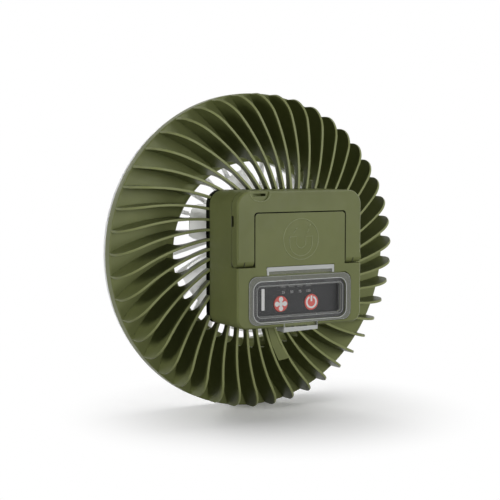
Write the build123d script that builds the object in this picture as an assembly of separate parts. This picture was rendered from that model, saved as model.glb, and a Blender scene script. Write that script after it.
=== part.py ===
from build123d import *
import os
from math import cos, pi, radians, sin, sqrt

# Rechargeable fan with a ring light at the front and a square control box at the back.
# Lengths are in millimetres. Every piece is drawn about the fan axis: Y runs along the axis from the
# front edge of the rim (y = 0) to the rear box, X is to the side and Z is up. At the end the pieces
# are moved together so that the rim stands on z = 0 and the depth is centred on y = 0.

# Rim, pan and air opening
RIM_R = 95.0  # outer radius of the rim
RIM_DEPTH = 6.6  # front edge of the rim to the back of the pan
PAN_WALL = 1.6
THROAT_R = 54.0  # air opening
LIP_BEVEL = 2.6  # bevel of the air opening at the back of the pan, along the radius
LIP_SINK = 1.4  # and along the axis

# Swirl fins behind the pan, each folded in straight runs along a bow
FIN_COUNT = 45
FIN_T = 1.3
FIN_OFFSET = 21.5  # line through both ends of a fin, off the fan axis
FIN_BOW = 4.1  # middle of a fin, off that line
FIN_RUNS = 3
FIN_FIRST_DEG = 3.5
FIN_INSET = 0.3  # outer edge of a fin at its foot, inside the rim
FIN_DROP = 2.1  # how far the back edge falls away towards the rim
FIN_SHOULDER = 13.5  # rounding of the outer back corner, in short flats
FIN_FLATS = 3
FIN_WINDOW = 7.0  # bevel of the corner over the air opening

# Square hub and rear box
BOX_H = 77.4
BOX_DROP = 1.0  # middle of the box below the fan axis
BOX_TOP_ROUND = 8.4
BOX_BOTTOM_ROUND = 6.2
BOX_EDGE = 0.9  # bevel of the back edges
BOX_WALL = 2.0
HUB_FRONT = 23.3
JOINT_Y = 28.4  # hub meets box
BOX_BACK = 61.0
FIT = 0.2  # play between pieces that slot together
RUN = 0.05  # radial play of a pin that turns
HOLD = 0.02  # radial play of a pin that is held fast

# Fold-out bail
BAIL_T = 6.6
BAIL_LEG_W = 10.8
BAIL_BAR_H = 11.8
BAIL_GAP = 0.7  # round the centre pad
BAIL_SEAT = 0.4  # under the bail and its leg ends
BAIL_PIVOT_UP = 8.9  # pivot above the upper edge of the clear cover
PAD_ROUND = 2.0
PEG_R = 1.5  # pegs of the legs, in the sides of the pad
PEG_L = 5.0
EYELET_IN = 14.6  # middle of the eyelet, from the side of the box
EYELET_R = 6.0
EYELET_DEPTH = 1.0
EYELET_SLOT_W = 8.2
EYELET_SLOT_H = 1.5
EYELET_BRIDGE = 1.3  # above the slot
NOTCH_DEPTH = 1.2  # finger notch in one leg
NOTCH_W = 2.6
NOTCH_H = 6.0
NOTCH_UP = 19.4  # above the pivot

# Clear cover over the controls
COVER_SIDE = 7.3  # side of the cover to the side of the box
COVER_H = 27.4
COVER_ROUND = 5.0
COVER_T = 1.4
COVER_UP = 2.0  # lower edge of the cover above the bottom of the box
COVER_GAP = 0.3
COVER_LIFT = 0.9  # underside of the cover above its ledge
TAB_W = 45.0  # hinge tab
HINGE_UP = 3.7  # hinge axis above the upper edge of the cover
COVER_PIN_R = 0.5
COVER_PIN_IN_BOX = 2.6
LATCH_W = 22.6
LATCH_REACH = 7.5
LATCH_T = 2.2
SEAL_W = 2.0
SEAL_PLAY = 0.1  # between the seal and the closed cover

# Pocket, panel, buttons and indicator lamps
POCKET_SIDE = 5.2  # side of the pocket inside the cover's edge
POCKET_UP = 3.5  # lower edge of the pocket inside the cover's edge
POCKET_DOWN = 5.1  # and its upper edge
POCKET_ROUND = 3.0
PANEL_T = 2.0
PANEL_FLANGE = 1.6  # beyond the pocket, behind the wall
PANEL_RIM = 1.0  # border left round the sunk face
PANEL_SINK = 1.2
BUTTON_R = 4.6
BUTTON_X = 10.3
BUTTON_UP = 7.1  # above the lower edge of the pocket
BUTTON_PROUD = 0.5
BUTTON_FLANGE_T = 0.7
BUTTON_TRAVEL = 0.6
LAMP_COUNT = 4
LAMP_PITCH = 5.7
LAMP_W = 3.4
LAMP_H = 1.2
LAMP_DOWN = 1.8  # below the upper edge of the pocket

# Control board, switches and charging socket
BOARD_T = 1.6
BOARD_BEHIND = 3.8  # back of the panel to the face of the board
BOARD_UP = 9.2  # lower edge above the bottom of the box
BOARD_H = 18.0
RAIL_W = 3.0
RAIL_H = 9.0
SWITCH_W = 6.0
SWITCH_KEY_W = 3.0
SWITCH_KEY_H = 0.4
SOCKET_L = 7.4
SOCKET_H = 3.2
SOCKET_W = 9.0
SOCKET_SKIN = 0.35
SOCKET_BEVEL = 1.0
SOCKET_UP = 19.7  # above the bottom of the box

# Screws of the box
SCREW_R = 1.2
SCREW_L = 9.0
SCREW_HEAD_R = 2.3
SCREW_HEAD_T = 1.5
SCREW_SIDE_COUNT = 8
HEAD_SIDE_COUNT = 6
POST_W = 4.2  # square posts inside the box
POST_INSET = 4.6  # middle of a post to the inside of the upper or lower wall

# Magnet behind the pad
MAGNET_W = 26.0
MAGNET_HEAD = 5.8  # above it, to the upper wall of the pad
MAGNET_T = 3.0
KEEPER_T = 1.0
FRAME_T = 1.5  # frame that holds the magnet

# Battery: two cells side by side in one sleeve
CELL_R = 9.3
CELL_L = 65.0
CELL_PITCH = 18.6
CELL_SIDE_COUNT = 8  # flats of the sleeve round a cell
CELL_END = 7.0  # contacts and leads at each end
CELL_HEAD = 3.9  # above the upper cell
CELL_PLAY = 0.3  # between the cells and the posts
TRAY_BASE = 1.5
TRAY_RIM = 1.5
TRAY_SHORT = 2.5  # end of the tray inside the end of the cells

# Motor
SHAFT_R = 1.5
BUSH_W = 6.0
BUSH_L = 9.0
TUBE_WALL = 1.0
PLATE_W = 30.0
PLATE_T = 2.5
TEETH = 6
TOOTH_W = 2.0
SHOE_W = 6.5
SHOE_T = 1.0
CORE_L = 5.0
COIL_T = 1.0
YOKE_WALL = 0.8
ROTOR_FRONT = 7.0
ROTOR_REAR = 18.4
POLES = 8
POLE_W = 7.6
POLE_T = 1.6
AIR_GAP = 0.6

# Impeller
BLADES = 7
BLADE_FIRST_DEG = -22.0
BLADE_T = 1.4
BLADE_TIP_GAP = 4.0  # inside the throat
BLADE_PITCH_DEG = 32.0
BLADE_ROOT_W = 14.0
BLADE_TIP_W = 27.0
BLADE_Y = 10.2
CUP_R = 17.0
CUP_WALL = 2.0
CUP_SIDE_COUNT = 28
NUT_R = 3.4
NUT_T = 2.2

# Front cover: ring of the light and guard over the blades
COVER_FRONT = 6.0  # it stands this far in front of the rim
COVER_INSET = 1.5  # inside the edge of the rim
COVER_WALL = 2.0
HOLLOW_SIDE_COUNT = 24  # flats of the hollow behind its face
GUARD_T = 2.0
GUARD_BARS = 24
GUARD_BAR_W = 2.2
GUARD_DISC_R = 18.0
GUARD_OFFSET = 12.0  # middle of a bar, off the fan axis
LIGHT_BOARD_IN = 4.4  # corners of the light board, inside the throat wall
LIGHT_BOARD_OUT = 3.4  # and inside the rim wall
LIGHT_BOARD_SIDE_COUNT = 12
LIGHT_BOARD_T = 1.6
CHIP_COUNT = 12
CHIP_W = 3.5
CHIP_H = 2.8
CHIP_T = 0.7

# Cover of the light's leads, between two fins
LEAD_FIN = -16  # the fin before it, counted from the first
LEAD_LAP = 9.0  # how far it reaches over the pan
LEAD_T = 1.6

# Sizes and places that follow from the sizes above
BOX_W = CELL_L + 2 * (CELL_END + BOX_WALL)
BOX_TOP = BOX_H / 2 - BOX_DROP
BOX_BOTTOM = -BOX_H / 2 - BOX_DROP
INSIDE_X = BOX_W / 2 - BOX_WALL
FLOOR_BACK = HUB_FRONT + BOX_WALL
PAN_FRONT = RIM_DEPTH - PAN_WALL
PAN_IN_R = THROAT_R + LIP_BEVEL
FIN_EDGE_R = RIM_R - FIN_INSET
FIN_START_R = min(BOX_W / 2, BOX_TOP) - BOX_WALL
LEAD_R = PAN_IN_R + LEAD_LAP
BAIL_FRONT = BOX_BACK - BAIL_T
BAIL_INNER_X = BOX_W / 2 - BAIL_LEG_W
BAIL_INNER_Z = BOX_TOP - BAIL_BAR_H
PAD_X = BAIL_INNER_X - BAIL_GAP
PAD_TOP = BAIL_INNER_Z - BAIL_GAP
PAD_WALL_FRONT = BOX_BACK - BOX_WALL
RECESS_FLOOR = BAIL_FRONT - BAIL_SEAT
PIVOT_Y = BOX_BACK - BAIL_T / 2
CAVITY_BACK = RECESS_FLOOR - BOX_WALL
COVER_W = BOX_W - 2 * COVER_SIDE
COVER_LOW = BOX_BOTTOM + COVER_UP
COVER_TOP = COVER_LOW + COVER_H
COVER_MID = (COVER_LOW + COVER_TOP) / 2
PIVOT_Z = COVER_TOP + BAIL_PIVOT_UP
RECESS_BOTTOM = PIVOT_Z - BAIL_T / 2 - BAIL_SEAT
COVER_UNDER = BOX_BACK - COVER_T
LEDGE_Y = COVER_UNDER - COVER_LIFT
HINGE_Z = COVER_TOP + HINGE_UP
COVER_SWING = HINGE_UP - sqrt(HINGE_UP**2 - COVER_T**2)  # rise of the inner edge as the cover opens
POCKET_W = COVER_W - 2 * POCKET_SIDE
POCKET_LOW = COVER_LOW + POCKET_UP
POCKET_TOP = COVER_TOP - POCKET_DOWN
POCKET_H = POCKET_TOP - POCKET_LOW
POCKET_MID = (POCKET_LOW + POCKET_TOP) / 2
PANEL_BACK = LEDGE_Y - BOX_WALL
PANEL_FACE = PANEL_BACK - PANEL_SINK
PANEL_FRONT = PANEL_BACK - PANEL_T
PANEL_X = POCKET_W / 2 + PANEL_FLANGE
RAIL_X = PANEL_X + RAIL_W
BUTTON_Z = POCKET_LOW + BUTTON_UP
LAMP_Z = POCKET_TOP - LAMP_DOWN
BOARD_BACK = PANEL_FRONT - BOARD_BEHIND
BOARD_FRONT = BOARD_BACK - BOARD_T
BOARD_LOW = BOX_BOTTOM + BOARD_UP
SWITCH_BACK = BOARD_BACK + BOARD_BEHIND / 2 - BUTTON_TRAVEL
SOCKET_Y = BOARD_FRONT - SOCKET_H / 2
SOCKET_Z = BOX_BOTTOM + SOCKET_UP
POST_X = CELL_L / 2 + CELL_PLAY + POST_W / 2
POST_LOW = BOX_BOTTOM + BOX_WALL + POST_INSET
POST_HIGH = BOX_TOP - BOX_WALL - POST_INSET
MAGNET_LOW = PIVOT_Z + BAIL_T / 2 + FRAME_T
MAGNET_H = PAD_TOP - BOX_WALL - MAGNET_HEAD - MAGNET_LOW
MAGNET_Z = MAGNET_LOW + MAGNET_H / 2
CELL_TOP_Z = BOX_TOP - BOX_WALL - CELL_HEAD - CELL_R
TRAY_W = CELL_L - 2 * TRAY_SHORT
PLATE_FRONT = HUB_FRONT - PLATE_T
TUBE_W = BUSH_W + 2 * (HOLD + TUBE_WALL)
CUP_FRONT = ROTOR_FRONT - CUP_WALL
CUP_FLAT = (CUP_R - CUP_WALL) * cos(pi / POLES)
POLE_IN = CUP_FLAT - HOLD - POLE_T
CORE_R = POLE_IN - AIR_GAP
YOKE_R = (TUBE_W * cos(pi / 4) + YOKE_WALL) / cos(pi / TEETH)
CORE_Y = ((ROTOR_FRONT + ROTOR_REAR - CORE_L) / 2, (ROTOR_FRONT + ROTOR_REAR + CORE_L) / 2)
BLADE_TIP_R = THROAT_R - BLADE_TIP_GAP
COVER_IN_R = THROAT_R + PAN_WALL / 2
COVER_OUT_R = RIM_R - COVER_INSET
BOARD_IN_R = THROAT_R + PAN_WALL + LIGHT_BOARD_IN
BOARD_OUT_R = RIM_R - PAN_WALL - LIGHT_BOARD_OUT
CHIP_R = (BOARD_IN_R + BOARD_OUT_R) / 2
EYELET_X = BOX_W / 2 - EYELET_IN


def along_y(outline, start, end):
    """Solid of an outline drawn in X and Z, between two places on the axis."""
    return extrude(Plane.XZ.offset(-end) * outline, amount=end - start)


def disc(radius, start, end, x=0.0, z=0.0):
    return along_y(Pos(x, z) * Circle(radius), start, end)


def block(x, y, z):
    """Box between pairs of limits."""
    middle = [(low + high) / 2 for low, high in (x, y, z)]
    size = [high - low for low, high in (x, y, z)]
    return Pos(*middle) * Box(*size)


def about(middle, width):
    """Pair of limits about a middle."""
    return middle - width / 2, middle + width / 2


def x_rod(radius, x, y, z):
    """Rod along X between two limits."""
    return Pos((x[0] + x[1]) / 2, y, z) * Rot(0, 90, 0) * Cylinder(radius, x[1] - x[0])


def rounded(width, height, radius, z):
    return Pos(0, z) * RectangleRounded(width, height, radius)


def around(piece, count, first=0.0):
    """Copies of a piece, evenly spaced about the fan axis, anticlockwise seen from the front."""
    return [Rot(0, -(first + 360 * i / count), 0) * piece for i in range(count)]


def box_outline(inset=0.0):
    """Outline of the hub and the rear box, with larger corners at the top."""
    plate = Rectangle(BOX_W - 2 * inset, BOX_H - 2 * inset)
    plate = fillet(plate.vertices().group_by(Axis.Y)[-1], BOX_TOP_ROUND - inset)
    plate = fillet(plate.vertices().group_by(Axis.Y)[0], BOX_BOTTOM_ROUND - inset)
    return Pos(0, -BOX_DROP) * plate


def post_places():
    return [(x, z) for x in (-POST_X, POST_X) for z in (POST_LOW, POST_HIGH)]


def screw_shank(radius, start, end, x, z):
    """Shank or hole of a screw, flat-sided."""
    return along_y(Pos(x, z) * RegularPolygon(radius, SCREW_SIDE_COUNT), start, end)


def at_radius(radius):
    """Place along a fin's line that lies at a radius from the fan axis."""
    return sqrt(radius**2 - FIN_OFFSET**2)


def fin_line():
    """Middle of a fin seen along the axis: straight runs between points of a bow."""
    start, end = at_radius(FIN_START_R), at_radius(RIM_R)
    line = []
    for i in range(FIN_RUNS + 1):
        share = i / FIN_RUNS
        line.append((start + share * (end - start), FIN_OFFSET + 4 * FIN_BOW * share * (1 - share)))
    return line


def fin_strip(width):
    """Fin seen along the axis."""
    near = [(along, across - width / 2) for along, across in fin_line()]
    far = [(along, across + width / 2) for along, across in reversed(fin_line())]
    return make_face(Polyline(*near, *far, close=True))


def fin():
    """One swirl fin: a folded strip cut to the side view of the fins."""
    foot = (RIM_DEPTH + PAN_FRONT) / 2
    edge = at_radius(FIN_EDGE_R)
    window = at_radius(PAN_IN_R)
    inner = at_radius(FIN_START_R)
    centre_x = edge - FIN_SHOULDER
    centre_y = JOINT_Y - FIN_DROP - FIN_SHOULDER
    shoulder = []
    for i in range(FIN_FLATS + 1):
        turn = pi / 2 * i / FIN_FLATS
        shoulder.append((centre_x + FIN_SHOULDER * cos(turn), centre_y + FIN_SHOULDER * sin(turn)))
    outline = Polyline(
        (inner, HUB_FRONT),
        (window - FIN_WINDOW, HUB_FRONT),
        (window, HUB_FRONT - FIN_WINDOW),
        (window, foot),
        (edge, foot),
        *shoulder,
        (inner, JOINT_Y),
        close=True,
    )
    return along_y(fin_strip(FIN_T), 0, JOINT_Y) & extrude(make_face(outline), amount=RIM_R)


def pan():
    """Channel ring: rim, flat back and throat, open to the front."""
    outline = Polyline(
        (THROAT_R, 0),
        (THROAT_R, RIM_DEPTH - LIP_SINK),
        (PAN_IN_R, RIM_DEPTH),
        (RIM_R, RIM_DEPTH),
        (RIM_R, 0),
        (RIM_R - PAN_WALL, 0),
        (RIM_R - PAN_WALL, PAN_FRONT),
        (THROAT_R + PAN_WALL, PAN_FRONT),
        (THROAT_R + PAN_WALL, 0),
        close=True,
    )
    return revolve(make_face(outline), Axis.Y)


def rear_grille():
    """Pan, fins and the front half of the box, as one moulding."""
    hub = along_y(box_outline(), HUB_FRONT, JOINT_Y)
    grille = pan() + hub + around(fin(), FIN_COUNT, FIN_FIRST_DEG)
    grille -= along_y(box_outline(BOX_WALL), FLOOR_BACK, JOINT_Y)
    for x, z in post_places():
        grille -= screw_shank(SCREW_R + HOLD, HUB_FRONT, FLOOR_BACK, x, z)
        grille -= disc(SCREW_HEAD_R + FIT, HUB_FRONT - SCREW_HEAD_T - FIT, HUB_FRONT, x, z)
    return grille


def wire_cover():
    """Strip that closes the gap between two fins, from the hub to the light's leads."""
    step = 360 / FIN_COUNT
    near = [Vector(along, across) for along, across in fin_line()]
    far = [point.rotate(Axis.Z, step) for point in reversed(near)]
    wall = fin_strip(FIN_T + 2 * FIT)
    strip = make_face(Polyline(*near, *far, close=True)) - wall - Rot(0, 0, step) * wall
    strip = Rot(0, 0, FIN_FIRST_DEG + LEAD_FIN * step) * strip & Circle(LEAD_R)
    back = JOINT_Y - FIN_DROP / 2
    return along_y(strip - box_outline(-FIT), back - LEAD_T, back)


def front_cover():
    """White ring over the light, with the guard over the blades in its middle."""
    ring = Circle(COVER_OUT_R) - Circle(COVER_IN_R)
    hollow = RegularPolygon(COVER_OUT_R - COVER_WALL, HOLLOW_SIDE_COUNT)
    hollow -= RegularPolygon(COVER_IN_R + COVER_WALL, HOLLOW_SIDE_COUNT, major_radius=False)
    guard_back = GUARD_T - COVER_FRONT
    reach = COVER_IN_R + GUARD_BAR_W / 2
    bar = Pos(reach / 2, GUARD_OFFSET) * Rectangle(reach, GUARD_BAR_W)
    bar = along_y(bar & Circle(reach), -COVER_FRONT, guard_back)
    cover = along_y(ring, -COVER_FRONT, 0) - along_y(hollow, COVER_WALL - COVER_FRONT, 0)
    cover += disc(GUARD_DISC_R, -COVER_FRONT, guard_back)
    return cover + around(bar, GUARD_BARS)


def light_board():
    outer = RegularPolygon(BOARD_OUT_R, LIGHT_BOARD_SIDE_COUNT)
    inner = RegularPolygon(BOARD_IN_R / cos(pi / LIGHT_BOARD_SIDE_COUNT), LIGHT_BOARD_SIDE_COUNT)
    return along_y(outer - inner, PAN_FRONT - LIGHT_BOARD_T, PAN_FRONT)


def light_chips():
    back = PAN_FRONT - LIGHT_BOARD_T
    chip = block(about(CHIP_R, CHIP_W), (back - CHIP_T, back), about(0, CHIP_H))
    return Compound(around(chip, CHIP_COUNT))


def impeller():
    """Cup with a flat inside for each magnet, and flat pitched blades."""
    inside = RegularPolygon(CUP_FLAT, POLES, major_radius=False, rotation=180 / POLES)
    cup = along_y(RegularPolygon(CUP_R, CUP_SIDE_COUNT), CUP_FRONT, ROTOR_REAR)
    cup -= along_y(inside, ROTOR_FRONT, ROTOR_REAR)
    half_root, half_tip = BLADE_ROOT_W / 2, BLADE_TIP_W / 2
    root, tip = CUP_R - CUP_WALL / 2, sqrt(BLADE_TIP_R**2 - half_tip**2)
    outline = Polyline((root, -half_root), (tip, -half_tip), (tip, half_tip), (root, half_root), close=True)
    pitch = radians(90 - BLADE_PITCH_DEG)
    plane = Plane(origin=(0, BLADE_Y, 0), x_dir=(1, 0, 0), z_dir=(0, sin(pitch), cos(pitch)))
    blade = extrude(plane * make_face(outline), amount=BLADE_T / 2, both=True)
    return cup + around(blade, BLADES, BLADE_FIRST_DEG) - disc(SHAFT_R + HOLD, CUP_FRONT, ROTOR_FRONT)


def impeller_nut():
    """Nut that holds the impeller on the shaft."""
    nut = along_y(RegularPolygon(NUT_R, 6), CUP_FRONT - NUT_T, CUP_FRONT)
    return nut - disc(SHAFT_R + HOLD, CUP_FRONT - NUT_T, CUP_FRONT)


def motor_shaft():
    return disc(SHAFT_R, CUP_FRONT - NUT_T, HUB_FRONT - FIT)


def rotor_magnets():
    """Flat magnets round the inside of the impeller's cup."""
    pole = block((POLE_IN, POLE_IN + POLE_T), (ROTOR_FRONT, ROTOR_REAR), about(0, POLE_W))
    return Compound(around(pole, POLES))


def bush_front():
    return PLATE_FRONT - BUSH_L


def motor_base():
    """Plate on the hub, with the square tube that carries the bush and the stator."""
    base = along_y(Rectangle(PLATE_W, PLATE_W), PLATE_FRONT, HUB_FRONT)
    base += along_y(Rectangle(TUBE_W, TUBE_W), bush_front(), PLATE_FRONT)
    bore = BUSH_W + 2 * HOLD
    return base - along_y(Rectangle(bore, bore), bush_front(), HUB_FRONT)


def motor_bush():
    """Sleeve bearing of the shaft."""
    return along_y(Rectangle(BUSH_W, BUSH_W) - Circle(SHAFT_R + RUN), bush_front(), bush_front() + BUSH_L)


def motor_stator():
    """Laminated core: a hub keyed on the square tube, and teeth that end in wide shoes."""
    bore = TUBE_W + 2 * HOLD
    yoke = RegularPolygon(YOKE_R, TEETH)
    tooth = Pos(CORE_R / 2, 0) * Rectangle(CORE_R, TOOTH_W)
    shoe = Pos(CORE_R - SHOE_T / 2, 0) * Rectangle(SHOE_T, SHOE_W)
    for i in range(TEETH):
        yoke += Rot(0, 0, 360 * i / TEETH) * (tooth + shoe)
    return along_y(yoke - Rectangle(bore, bore), *CORE_Y)


def stator_coils():
    """One winding round each tooth."""
    x = (YOKE_R + FIT, CORE_R - SHOE_T - FIT)
    coil = block(x, (CORE_Y[0] - COIL_T, CORE_Y[1] + COIL_T), about(0, TOOTH_W + 2 * COIL_T))
    coil -= block(x, (CORE_Y[0] - HOLD, CORE_Y[1] + HOLD), about(0, TOOTH_W + 2 * HOLD))
    return Compound(around(coil, TEETH))


def screw(x, z):
    """Screw along the axis, with its head in front of the hub's floor."""
    outline = Pos(x, z) * RegularPolygon(SCREW_HEAD_R, HEAD_SIDE_COUNT)
    head = along_y(outline, HUB_FRONT - SCREW_HEAD_T, HUB_FRONT)
    return head + screw_shank(SCREW_R, HUB_FRONT, HUB_FRONT + SCREW_L, x, z)


def box_screws():
    return Compound([screw(x, z) for x, z in post_places()])


def bail_recess():
    """Space of the folded bail: all round the centre pad, down to just under the leg ends."""
    top = BOX_TOP + BAIL_GAP
    space = Pos(0, (RECESS_BOTTOM + top) / 2) * Rectangle(BOX_W + 2 * BAIL_GAP, top - RECESS_BOTTOM)
    low = RECESS_BOTTOM - PAD_ROUND
    pad = Pos(0, (low + PAD_TOP) / 2) * Rectangle(2 * PAD_X, PAD_TOP - low)
    pad = fillet(pad.vertices().group_by(Axis.Y)[-1], PAD_ROUND)
    return along_y(space - pad, RECESS_FLOOR, BOX_BACK)


def box_cavity():
    """Hollow of the box: battery space, space behind the pad and control bay."""
    inside = box_outline(BOX_WALL)
    hollow = along_y(inside, JOINT_Y, CAVITY_BACK)
    bay_low, bay_high = BOX_BOTTOM + BOX_WALL, COVER_TOP - BOX_WALL
    bay = Pos(0, (bay_low + bay_high) / 2) * Rectangle(2 * INSIDE_X, bay_high - bay_low)
    hollow += along_y(bay & inside, JOINT_Y, PANEL_BACK)
    pad_x = about(0, 2 * (PAD_X - BOX_WALL))
    return hollow + block(pad_x, (JOINT_Y, PAD_WALL_FRONT), (PIVOT_Z + BAIL_T / 2, PAD_TOP - BOX_WALL))


def cover_cuts():
    """Recess, hinge space, latch notch and pocket of the clear cover."""
    grow = 2 * COVER_GAP
    recess_h = COVER_H + grow + COVER_SWING
    recess = rounded(COVER_W + grow, recess_h, COVER_ROUND + COVER_GAP, COVER_MID + COVER_SWING / 2)
    barrel = COVER_T + COVER_GAP
    pocket = rounded(POCKET_W, POCKET_H, POCKET_ROUND, POCKET_MID)
    pin_x = TAB_W + grow + 2 * COVER_PIN_IN_BOX
    return [
        along_y(recess, LEDGE_Y, BOX_BACK),
        block(about(0, TAB_W + grow), (COVER_UNDER - barrel, BOX_BACK), (COVER_TOP, HINGE_Z + barrel)),
        block(about(0, LATCH_W + grow), (LEDGE_Y, BOX_BACK), (BOX_BOTTOM, COVER_MID)),
        along_y(pocket, PANEL_BACK, LEDGE_Y),
        x_rod(COVER_PIN_R + HOLD, about(0, pin_x), COVER_UNDER, HINGE_Z),
    ]


def rear_box():
    shell = along_y(box_outline(), JOINT_Y, BOX_BACK)
    shell = chamfer(shell.faces().sort_by(Axis.Y)[-1].edges(), BOX_EDGE)
    shell -= box_cavity()
    shell -= bail_recess()
    for x, z in post_places():
        back = PANEL_BACK if z == POST_LOW else CAVITY_BACK
        shell += block(about(x, POST_W), (FLOOR_BACK, back), about(z, POST_W))
    rail_z = about(BOARD_LOW + BOARD_H / 2, RAIL_H)
    for x in (-RAIL_X, RAIL_X):
        shell += block(about(x, RAIL_W), (BOARD_BACK, PANEL_BACK), rail_z)
    inner = Rectangle(MAGNET_W + FIT, MAGNET_H + FIT)
    outer = Rectangle(MAGNET_W + FIT + 2 * FRAME_T, MAGNET_H + FIT + 2 * FRAME_T)
    frame = Pos(0, MAGNET_Z) * (outer - inner)
    shell += along_y(frame, PAD_WALL_FRONT - MAGNET_T - KEEPER_T, PAD_WALL_FRONT)
    cuts = cover_cuts()
    for side in (-1, 1):
        hole = sorted((side * PAD_X, side * (PAD_X - PEG_L - FIT)))
        cuts.append(x_rod(PEG_R + RUN, hole, PIVOT_Y, PIVOT_Z))
    hole_end = HUB_FRONT + SCREW_L + FIT
    cuts += [screw_shank(SCREW_R + HOLD, FLOOR_BACK, hole_end, x, z) for x, z in post_places()]
    cuts.append(socket_shape(FIT, (-BOX_W / 2, -INSIDE_X)))
    return shell - cuts


def bail():
    """U-shaped frame round the pad, whose rounded leg ends turn on pegs in the sides of the pad."""
    frame = along_y(box_outline(), BAIL_FRONT, BOX_BACK)
    frame = chamfer(frame.faces().sort_by(Axis.Y)[-1].edges(), BOX_EDGE)
    opening = Rectangle(2 * BAIL_INNER_X, BAIL_INNER_Z - BOX_BOTTOM)
    opening = Pos(0, (BOX_BOTTOM + BAIL_INNER_Z) / 2) * opening
    opening = fillet(opening.vertices().group_by(Axis.Y)[-1], PAD_ROUND)
    frame -= along_y(opening, BAIL_FRONT, BOX_BACK)
    frame -= block(about(0, BOX_W), (BAIL_FRONT, BOX_BACK), (BOX_BOTTOM, PIVOT_Z))
    for side in (-1, 1):
        leg = sorted((side * BAIL_INNER_X, side * BOX_W / 2))
        peg = sorted((side * (PAD_X - PEG_L), side * BAIL_INNER_X))
        frame += x_rod(BAIL_T / 2, leg, PIVOT_Y, PIVOT_Z)
        frame += x_rod(PEG_R, peg, PIVOT_Y, PIVOT_Z)
    frame -= disc(EYELET_R, BOX_BACK - EYELET_DEPTH, BOX_BACK, EYELET_X, BOX_TOP)
    slot_z = BOX_TOP - EYELET_BRIDGE - EYELET_SLOT_H / 2
    frame -= along_y(Pos(EYELET_X, slot_z) * Rectangle(EYELET_SLOT_W, EYELET_SLOT_H), BAIL_FRONT, BOX_BACK)
    notch_x = (BOX_W / 2 - NOTCH_DEPTH, BOX_W / 2)
    notch_z = (PIVOT_Z + NOTCH_UP, PIVOT_Z + NOTCH_UP + NOTCH_H)
    return frame - block(notch_x, (BAIL_FRONT, BAIL_FRONT + NOTCH_W), notch_z)


def clear_cover():
    """Clear lid with a hinge barrel on its upper tab and a hooked latch at its lower edge."""
    lid = along_y(rounded(COVER_W, COVER_H, COVER_ROUND, COVER_MID), COVER_UNDER, BOX_BACK)
    tab = about(0, TAB_W)
    lid += block(tab, (COVER_UNDER, BOX_BACK), (COVER_TOP - COVER_T, HINGE_Z))
    lid += x_rod(COVER_T, tab, COVER_UNDER, HINGE_Z)
    hook_top = BOX_BOTTOM - COVER_GAP
    hook_low = hook_top - LATCH_T
    grip = about(0, LATCH_W)
    lid += block(grip, (COVER_UNDER, BOX_BACK), (hook_low, COVER_TOP - COVER_H + COVER_T))
    lid += block(grip, (BOX_BACK - LATCH_REACH, BOX_BACK), (hook_low, hook_top))
    return lid - x_rod(COVER_PIN_R + RUN, tab, COVER_UNDER, HINGE_Z)


def cover_pin():
    reach = TAB_W + 2 * (COVER_GAP + COVER_PIN_IN_BOX)
    return x_rod(COVER_PIN_R, about(0, reach), COVER_UNDER, HINGE_Z)


def cover_gasket():
    """Soft seal on the ledge, round the pocket."""
    outer = Rectangle(POCKET_W + 2 * SEAL_W, POCKET_H + 2 * SEAL_W)
    ring = Pos(0, POCKET_MID) * (outer - Rectangle(POCKET_W, POCKET_H))
    return along_y(ring, LEDGE_Y, COVER_UNDER - SEAL_PLAY)


def lamp_places():
    return [LAMP_PITCH * (i - (LAMP_COUNT - 1) / 2) for i in range(LAMP_COUNT)]


def control_panel():
    """Dark plate behind the pocket, with a sunk face, button holes and lamp windows."""
    outline = Pos(0, POCKET_MID) * Rectangle(2 * PANEL_X, POCKET_H + 2 * PANEL_FLANGE)
    sunk = Pos(0, POCKET_MID) * Rectangle(POCKET_W - 2 * PANEL_RIM, POCKET_H - 2 * PANEL_RIM)
    plate = along_y(outline, PANEL_FRONT, PANEL_BACK) - along_y(sunk, PANEL_FACE, PANEL_BACK)
    plate -= [disc(BUTTON_R + FIT, PANEL_FRONT, PANEL_FACE, x, BUTTON_Z) for x in (-BUTTON_X, BUTTON_X)]
    window = Rectangle(LAMP_W + FIT, LAMP_H + FIT)
    return plate - [along_y(Pos(x, LAMP_Z) * window, PANEL_FRONT, PANEL_FACE) for x in lamp_places()]


def button(x):
    """Push button, held behind the panel by its square flange, which also meets the switch."""
    flange_back = PANEL_FRONT - FIT
    width = 2 * (BUTTON_R + FIT)
    front = flange_back - BUTTON_FLANGE_T
    flange = block(about(x, width), (front, flange_back), about(BUTTON_Z, width))
    stem_end = SWITCH_BACK + BUTTON_TRAVEL + FIT / 2
    stem = block(about(x, SWITCH_KEY_W), (stem_end, front), about(BUTTON_Z, SWITCH_KEY_W))
    return flange + stem + disc(BUTTON_R, flange_back, PANEL_FACE + BUTTON_PROUD, x, BUTTON_Z)


def button_switches():
    seat = SWITCH_BACK - SWITCH_KEY_H
    switches = []
    for x in (-BUTTON_X, BUTTON_X):
        body = block(about(x, SWITCH_W), (BOARD_BACK, seat), about(BUTTON_Z, SWITCH_W))
        key = block(about(x, SWITCH_KEY_W), (seat, SWITCH_BACK), about(BUTTON_Z, SWITCH_KEY_W))
        switches.append(body + key)
    return Compound(switches)


def indicator_lights():
    """Light guides from the board to the windows of the panel."""
    y, z = (BOARD_BACK, PANEL_FACE), about(LAMP_Z, LAMP_H)
    return Compound([block(about(x, LAMP_W), y, z) for x in lamp_places()])


def control_board():
    x = (-INSIDE_X + FIT, RAIL_X)
    return block(x, (BOARD_FRONT, BOARD_BACK), (BOARD_LOW, BOARD_LOW + BOARD_H))


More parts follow.
